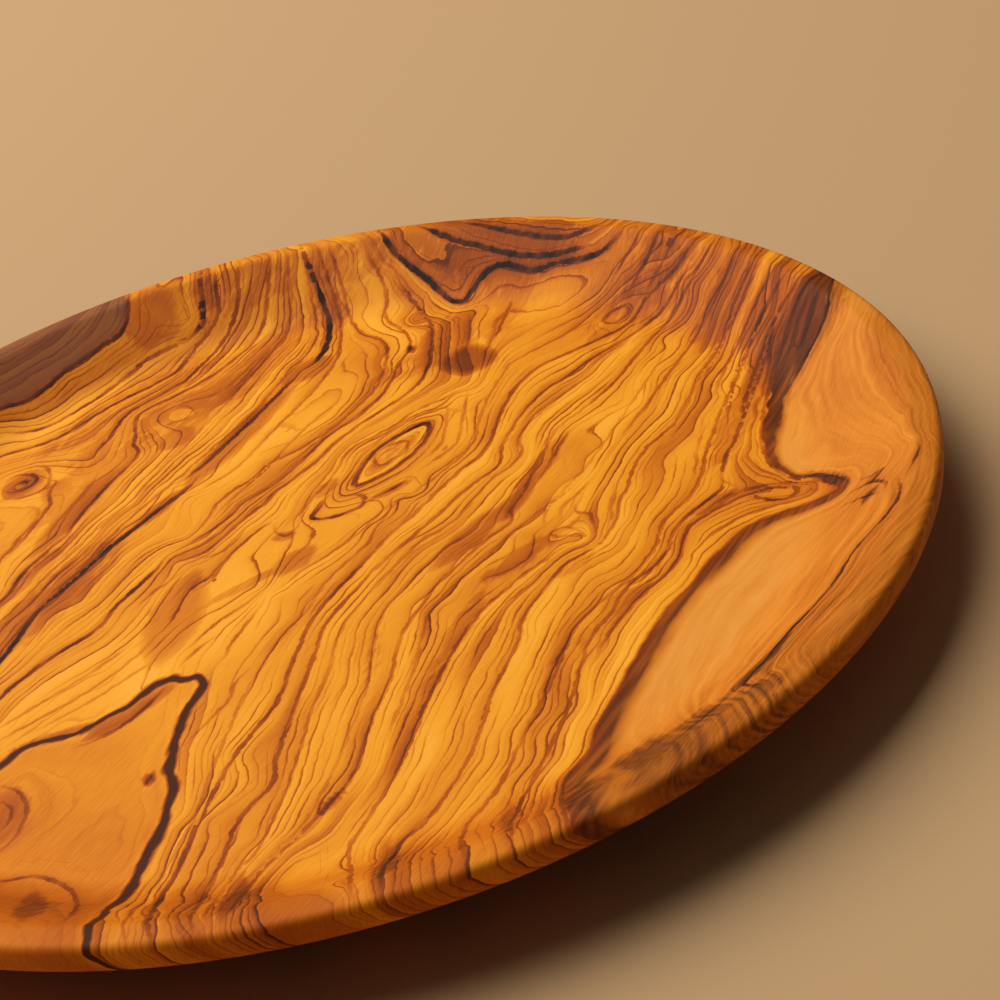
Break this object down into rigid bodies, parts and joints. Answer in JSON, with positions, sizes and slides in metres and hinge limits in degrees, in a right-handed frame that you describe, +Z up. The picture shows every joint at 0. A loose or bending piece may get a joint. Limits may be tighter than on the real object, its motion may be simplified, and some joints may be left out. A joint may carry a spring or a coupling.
{
  "type": "serving dish",
  "caption": "Round shallow serving dish turned from one solid blank of olive wood, with a flat floor, a coved flaring wall, a rounded rim and a low foot ring.",
  "frame": {"origin": "centre of the foot ring, on the surface that the dish stands on", "axes": "+Z up along the turning axis, +X to the right and +Y away from the viewer"},
  "size_m": [0.28, 0.28, 0.022],
  "materials": {
    "olive_wood": "oiled satin olive wood with dark brown figure"
  },
  "bodies": {
    "root": {"dish": "olive_wood"}
  },
  "joints": []
}
